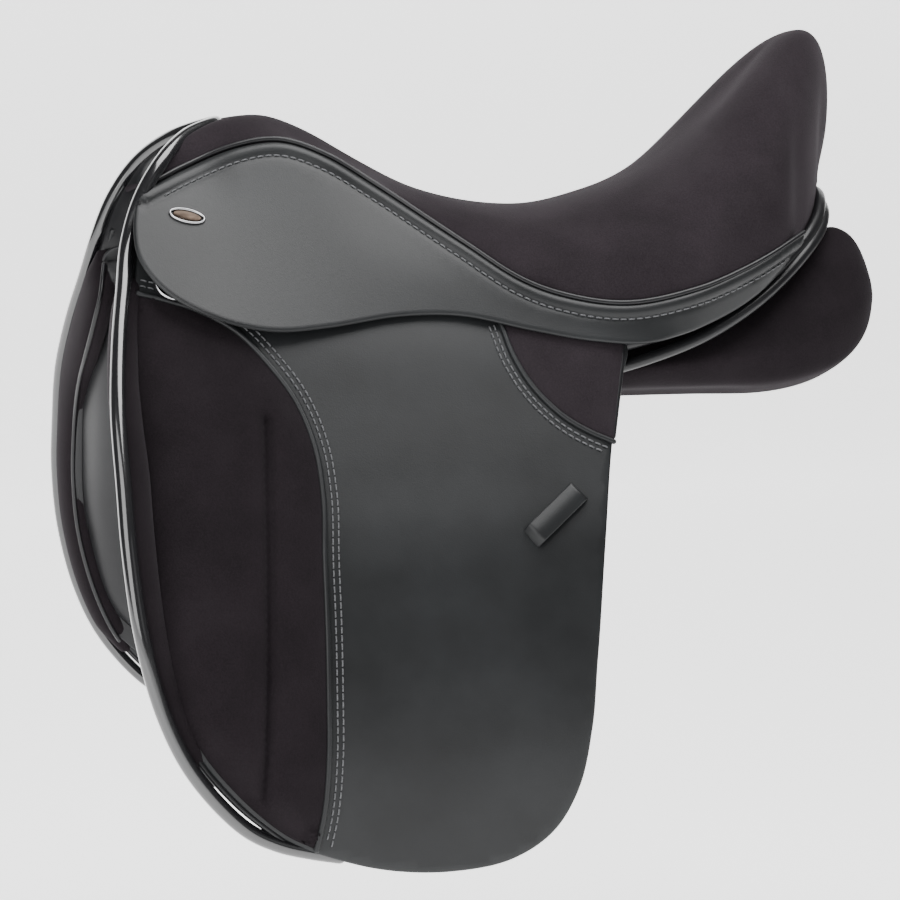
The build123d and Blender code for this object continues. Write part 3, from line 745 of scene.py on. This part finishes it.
def make_flaps():
    outline = closed_outline(FLAP_EDGE, FLAP_TOP[:2], FLAP_TOP[1:3], FLAP_TOP[2:])
    face = flap_face()
    leaf = sheet_parts(outline, face, LEATHER, 1.5, 5.0)
    pad_outline = closed_outline(PAD_TOP_REAR, PAD_FRONT)
    pad = sheet_parts(pad_outline, face, -0.1, 0.6, 2.6, pad_relief, rings=(1.5, 3.0, 5.5, 8.5))
    border = tube_parts(line_on(face, PAD_TOP_REAR, lift=1.0)[0], 1.9, 10)
    rows = []
    for distance in PAD_STITCHING:
        points = shift_line(smooth(PAD_TOP_REAR, 2.0), -distance)
        rows.append(stitch_parts(*line_on(face, points[::3]), **FINE_STITCH))
    patch_outline = closed_outline(PATCH_LINE, PATCH_EDGE, [(43.5, 31), (36, 44), (-35, 46)])
    patch = sheet_parts(patch_outline, face, -0.1, 0.7, 3.5,
                        lambda y, z, d: 0.7 + 1.3 * min(1.0, d / 8))
    binding = tube_parts(line_on(face, PATCH_LINE, lift=0.6)[0], 1.7, 10)
    for distance in PATCH_STITCHING:
        points = shift_line(smooth(PATCH_LINE, 2.0), distance)
        rows.append(stitch_parts(*line_on(face, points[::3]), **FINE_STITCH))
    edging_line = [(44, 34), (36, 8), (26.5, -22)]
    rear_edging = tube_parts(line_on(face, edging_line, lift=-1.5)[0], 2.3, 10)
    front_edge = [p for p in FLAP_EDGE if p[0] < -180 and p[1] < 70][::-1]
    edging = tube_parts([p + Vector((0, -1.0, -0.3)) for p in line_on(face, front_edge, lift=-1.4)[0]],
                        1.9, 10)
    for side, sign in SIDES:
        off = sign < 0
        flap = add_object("flap_" + side + "_leather", *leaf, FLAP_LEATHER, None, off)
        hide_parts("flap_" + side, "flap_top_" + side)
        knee = add_object("knee_pad_" + side + "_suede", *pad, PANEL_SUEDE, None, off)
        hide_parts("knee_pad_" + side)
        rear = add_object("rear_patch_" + side + "_suede", *patch, SEAT_SUEDE, None, off)
        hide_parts("rear_patch_" + side)
        front = add_object("flap_front_piping_" + side, *edging, BLACK_LEATHER, None, off)
        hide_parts("flap_edging_" + side)
        trims = [
            add_object("knee_pad_border_" + side, *border, FLAP_LEATHER, None, off),
            add_object("patch_binding_" + side, *binding, FLAP_LEATHER, None, off),
            add_object("patch_edge_piping_" + side, *rear_edging, BLACK_LEATHER, None, off),
            add_object("flap_stitching_" + side, *join_parts(rows), THREAD, None, off),
        ]
        for piece in [flap, knee, rear, front] + trims:
            blend_at_flap(piece)


def make_keepers():
    """Leather loop let through two slits in the flap, its middle standing off for a strap."""
    centre = Vector((blend_rows(FLAP_FACE, -66)[0] + 0.2, -18, -66))
    normal = Vector((0.876, 0, 0.482)).normalized()
    along = Vector((13, -35, -26))
    along = (along - normal * along.dot(normal)).normalized()
    across = normal.cross(along)
    length, width, rise, skin, edge = 47.0, 14.0, 2.4, 2.4, 0.7
    rings = []
    count = 36
    for i in range(count + 1):
        s = i / count - 0.5
        lift = rise - (rise + 3.4) * ease(0.40, 0.5, abs(s)) ** 1.5
        base = centre + along * s * length + normal * lift
        half = width / 2
        section = [(-half, edge), (-half + edge, 0), (half - edge, 0), (half, edge),
                   (half, skin - edge), (half - edge, skin), (-half + edge, skin), (-half, skin - edge)]
        rings.append([base + across * a + normal * b for a, b in section])
    strip = rings_to_mesh(rings)
    for side, sign in SIDES:
        keeper = add_object("keeper_" + side + "_loop", *strip, FLAP_LEATHER, "flap_" + side, sign < 0)
        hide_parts("keeper_" + side)


# ---------------------------------------------------------------- under the flaps
SWEAT_OUTLINE = [
    [(32, 34), (0, 42), (-38, 58), (-62, 66), (-200, 66), (-208, 86), (-256, 88), (-262, 60)],
    [(-262, 60), (-270, -10), (-268, -110), (-248, -184), (-216, -217), (-170, -238),
     (-110, -249), (-62, -244), (-34, -216), (-12, -140), (8, -50), (32, 34)],
]
FORWARD_OUTLINE = [
    [(-259, 80), (-228, 82), (-216, 20), (-170, 4), (-62, 2), (-84, -150)],
    [(-84, -150), (-100, -190), (-140, -212), (-196, -210), (-240, -180), (-262, -110), (-267, -50),
     (-267, 10), (-259, 80)],
]
# Front band of the forward panel: z, depth (X) from the piping, and setback (Y) of its inner edge
BAND_ROWS = [(-215, 20, 4), (-165, 28, 4), (-120, 35, 3), (-57, 40, 3), (-30, 42, 3), (0, 56, 3),
             (15, 65, 3), (36, 67, 3), (56, 58, 3), (69, 38, 3), (90, 16, 2)]
STRAP_ROOM = 10.0


def make_front_bands():
    """Suede roll between the front piping and the leather on the horse's side, with its seam."""
    line = [p for p in smooth(FRONT_PIPING, 6.0) if -212 < p.z < 90]
    rings, seam = [], []
    for p in line:
        depth, setback = blend_rows(BAND_ROWS, p.z)
        outer = p + Vector((-2.0, 1.5, 0))
        inner = p + Vector((-depth, setback + 2.0, 0))
        ring = []
        for k in range(11):
            t = k / 10
            swell = 5.0 * (4 * t * (1 - t)) ** 0.7
            ring.append(outer.lerp(inner, t) + Vector((0, -swell, 0)))
        for t, back in ((1.03, 4.0), (1.0, 12.0), (0.7, 16.0), (0.35, 14.0), (0.08, 9.0)):
            ring.append(outer.lerp(inner, t) + Vector((0, back, 0)))
        rings.append(ring)
        seam.append(inner + Vector((-0.6, 2.0, 0)))
    count = len(rings)
    for i, ring in enumerate(rings):
        pinch = ease(0, 5, min(i, count - 1 - i) + 0.6)
        centre = sum(ring, Vector((0, 0, 0))) / len(ring)
        rings[i] = [centre.lerp(v, 0.35 + 0.65 * pinch) for v in ring]
    band = rings_to_mesh(rings)
    cord = tube_parts(seam[2:-2], 1.5, 8)
    for side, sign in SIDES:
        roll = add_object("front_band_" + side, *band, PANEL_SUEDE, "root", sign < 0)
        subdivide(roll)
        line_piece = add_object("front_band_seam_" + side, *cord, BLACK_LEATHER, "root", sign < 0)


def make_sweat_flaps():
    outline = closed_outline(*SWEAT_OUTLINE)
    leaf = sheet_parts(outline, flap_face(LEATHER + STRAP_ROOM), 3.0, 1.2, 6.0)
    forward = closed_outline(*FORWARD_OUTLINE)
    padding = [(-280, 8), (-205, 9), (-160, 11), (-120, 15), (-80, 21), (-40, 27), (0, 31), (40, 29),
               (80, 20), (110, 12)]
    inner = flap_face(LEATHER + STRAP_ROOM + 3.5)

    def bottom(y, z):
        point, normal = inner(y, z)
        return point, -normal

    def relief(y, z, d):
        full = blend_rows(padding, z)[0]
        seam = -2.0 * math.exp(-((d - 34) / 3.0) ** 2)
        return full * (1 - (1 - min(d, 18.0) / 18.0) ** 2.4) + seam

    verts, faces = sheet_parts(forward, bottom, 0.0, 1.0, 5.0, relief, rings=(3, 6, 10, 15))
    for side, sign in SIDES:
        sweat = add_object("sweat_flap_" + side + "_leather", *leaf, INNER_LEATHER, "root", sign < 0)
        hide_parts("sweat_flap_" + side)
        pad = add_object("forward_panel_" + side + "_pad", verts, faces, INNER_LEATHER, "root", sign < 0)
        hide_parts("forward_panel_" + side)


# y, then inner top, outer top, outer bottom and inner bottom as (x, z)
PANEL = [
    (-246, (30, 72), (48, 76), (92, 10), (66, 4)), (-240, (30, 80), (46, 82), (96, 6), (64, 0)),
    (-200, (30, 86), (46, 84), (98, 5), (62, 0)),
    (-130, (30, 84), (46, 83), (99, 4), (54, -1)), (-70, (30, 80), (60, 76), (99, 4), (44, -8)),
    (0, (30, 70), (74, 50), (98, 4), (38, -14)), (60, (30, 72), (84, 34), (101, 6), (36, -15)),
    (110, (30, 78), (80, 44), (108, 8), (36, -16)), (150, (30, 84), (66, 60), (107, 9), (36, -17)),
    (176, (30, 90), (58, 76), (102, 12), (36, -15)), (198, (30, 97), (54, 92), (94, 16), (36, -9)),
    (217, (30, 104), (52, 100), (84, 22), (37, 2)), (230, (31, 98), (51, 95), (74, 32), (39, 13)),
    (238, (34, 86), (50, 83), (64, 42), (42, 25)), (242, (39, 72), (50, 70), (56, 50), (45, 40)),
    (243.5, (44, 62), (49, 61), (51, 54), (47, 52)),
]


def panel_ring(y, count=44, corner_zone=0.25, rounding=0.10):
    """Cross-section of the panel at y: a four-cornered ring with its corners rounded off."""
    values = blend_rows([(row[0], *[c for corner in row[1:] for c in corner]) for row in PANEL], y)
    corners = [Vector((values[i], values[i + 1])) for i in range(0, 8, 2)]
    ring = []
    for k in range(count):
        s = 4 * k / count
        i, t = int(s), s - int(s)
        a, b, c, d = (corners[(i + j) % 4] for j in (-1, 0, 1, 2))
        flat = b.lerp(c, t * 0.62 + 0.19)
        if t < corner_zone:
            pull = (corner_zone - t) / corner_zone
            flat = flat.lerp(a.lerp(b, 0.5) + (c - b) * 0.5, rounding * pull * pull)
        elif t > 1 - corner_zone:
            pull = (t - 1 + corner_zone) / corner_zone
            flat = flat.lerp(c.lerp(d, 0.5) + (b - c) * 0.5, rounding * pull * pull)
        ring.append(Vector((flat.x, y, flat.y)))
    for _ in range(2):
        ring = [(ring[k - 1] + ring[k] * 2 + ring[(k + 1) % count]) / 4 for k in range(count)]
    return ring


def make_panels():
    stations = [-246, -243, -238] + list(range(-230, 210, 9)) + [213, 219, 225, 230, 234, 237, 239.5,
                                                                 241.5, 242.7, 243.4]
    rings = [panel_ring(y) for y in stations]
    verts, faces = rings_to_mesh(rings)
    for side, sign in SIDES:
        panel = add_object("panel_" + side + "_cushion", verts, [f[::-1] for f in faces], PANEL_SUEDE,
                           "root", sign < 0)
        puff(panel, pressure=1.5, held=lambda p: abs(p.x) < 38 and p.z > 40 or p.y < -225)
        subdivide(panel)
        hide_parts("panel_" + side)


# ---------------------------------------------------------------- rolls and piping
def both_sides(points):
    """A near-side route carried on down the off side."""
    return points + [(-x, y, z) for x, y, z in points[-2::-1]]


PIPING_R, ROLL_R, WELT_R = 4.6, 4.2, 1.7
FRONT_PIPING = [(196.5, -160, -258), (198, -178, -253.5), (200.5, -197, -247), (203, -217, -235),
                (206, -246, -201), (206, -263, -165), (204, -274.5, -118), (194, -279, -74),
                (178, -279.5, -38), (154, -279, 2), (124, -274, 39), (97, -267.5, 69),
                (75, -261.5, 96), (64, -252, 122), (53, -237, 145), (30, -218, 161), (0, -194, 170)]


def make_front_piping():
    """Glossy piping up one side, over the pommel and down the other."""
    line = smooth(both_sides(FRONT_PIPING), 4.0)
    piping = add_object("front_piping_tube", *tube_parts(line, PIPING_R, 20), PIPING_GLOSS, "root")
    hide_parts("front_piping")


def make_cantle_rolls():
    """Two rolls between the rear of the seat and the panels."""
    upper = [(105, 28, 27), (105, 57, 33), (103, 91, 42), (99, 115, 51), (91, 142, 65), (79, 167, 81),
             (69, 185, 95), (54, 200, 108), (38, 209, 118), (20, 215, 124), (0, 217, 126)]
    lower = [(103, 28, 13), (104, 57, 20), (104, 91, 31), (101, 115, 41.5), (94, 142, 56.5),
             (82, 167, 73), (72, 185, 87.5), (57, 201, 100.5), (41, 210.5, 111), (21, 216.5, 117.5),
             (0, 218.5, 119.5)]
    parts = [tube_parts(smooth(both_sides(route), 4.0), ROLL_R, 14) for route in (upper, lower)]
    rolls = add_object("cantle_rolls", *join_parts(parts), BLACK_LEATHER, "root")
    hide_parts("cantle_roll")


def make_welt():
    """Black welt sunk in the seam between seat and skirt."""
    line = [p + Vector((-2.2, 0, 1.6)) for p in line_on(skirt_face, SEAM_LINE[::6])[0]]
    parts = tube_parts(smooth(line, 3.0), WELT_R, 12)
    for side, sign in SIDES:
        welt = add_object("seat_welt_" + side, *parts, BLACK_LEATHER, "root", sign < 0)
        if sign > 0:
            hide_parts("seat_welt")


def arch_parts(rows, thickness):
    """Bent sheet over the withers: each row is y and half an arch of (x, z), leg first."""
    rings = []
    for y, half in rows:
        outer = smooth([Vector(p) for p in half], 4.0)
        outer = outer + [Vector((-p.x, p.y)) for p in outer[-2::-1]]
        middle = Vector((0, 95))
        inner = [p + (middle - p).normalized() * thickness for p in outer]
        rings.append([Vector((p.x, y, p.y)) for p in outer + inner[::-1]])
    count = min(len(r) for r in rings)
    rings = [r[:count] for r in rings]
    return rings_to_mesh(rings)


def make_pommel():
    """Leather between the front piping and the edge of the pommel arch."""
    arch_edge = [(56, -240, 66), (52, -238, 84), (51, -237, 104), (46, -236, 120), (34, -233, 133),
                 (18, -228, 141), (0, -225, 144)]
    upper = [(94, -267, 70), (75, -260, 94), (65, -252, 120), (54, -238, 142), (42, -228, 153),
             (22, -210, 163), (0, -193, 168)]
    count = 24

    def evenly(points):
        line = smooth(both_sides(points), 1.0)
        return [line[round(i * (len(line) - 1) / (2 * count))] for i in range(2 * count + 1)]

    low, high = evenly(arch_edge), evenly(upper)
    rings = []
    for k in range(9):
        t = k / 8
        rings.append([a.lerp(b, t) + Vector((0, -5.0 * t * (1 - t), 3.0 * t * (1 - t)))
                      for a, b in zip(low, high)])
    inner = [[v + Vector((0, 3.0, 0)) for v in ring] for ring in rings[::-1]]
    lip = [v + Vector((0, 30.0, 2.0)) for v in rings[0]]
    verts, faces = rings_to_mesh([lip] + rings + inner + [[v + Vector((0, 0, 2.6)) for v in lip]],
                                 closed_ring=False, caps=False)
    facing = add_object("pommel_facing_leather", verts, faces, BLACK_LEATHER, "root")
    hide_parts("pommel_facing")


def make_linings():
    rows = [(y, [(27.5, z - 12), (16, z - 4), (0, z)]) for y, z in
            ((-186, 104), (-140, 100), (-100, 96), (-50, 84), (0, 76), (50, 78), (100, 84),
             (160, 92))]
    lining = add_object("channel_lining_leather", *arch_parts(rows, 1.6), INNER_LEATHER, "root")
    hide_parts("channel_lining")


# ---------------------------------------------------------------- carried-over CAD nodes
def finish_cad_nodes():
    finishes = {"tree": SHELL, "gullet_plate": STEEL, "gullet_screws": STEEL, "bar_rivets": STEEL}
    for side, _ in SIDES:
        finishes["stirrup_bar_" + side] = STEEL
        finishes["catch_pin_" + side] = STEEL
        finishes["bar_catch_" + side] = STEEL
        finishes["dee_ring_" + side] = CHROME
        finishes["dee_chape_" + side] = BLACK_LEATHER
        finishes["girth_webs_" + side] = WEBBING
        finishes["front_girth_strap_" + side] = STRAP_LEATHER
        finishes["rear_girth_strap_" + side] = STRAP_LEATHER
    for name, material in finishes.items():
        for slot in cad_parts[name].material_slots:
            slot.material = material


make_camera()
make_studio()
make_seat()
make_skirts()
make_badges()
make_flaps()
make_keepers()
make_sweat_flaps()
make_front_bands()
make_panels()
make_front_piping()
make_cantle_rolls()
make_welt()
make_pommel()
make_linings()
finish_cad_nodes()
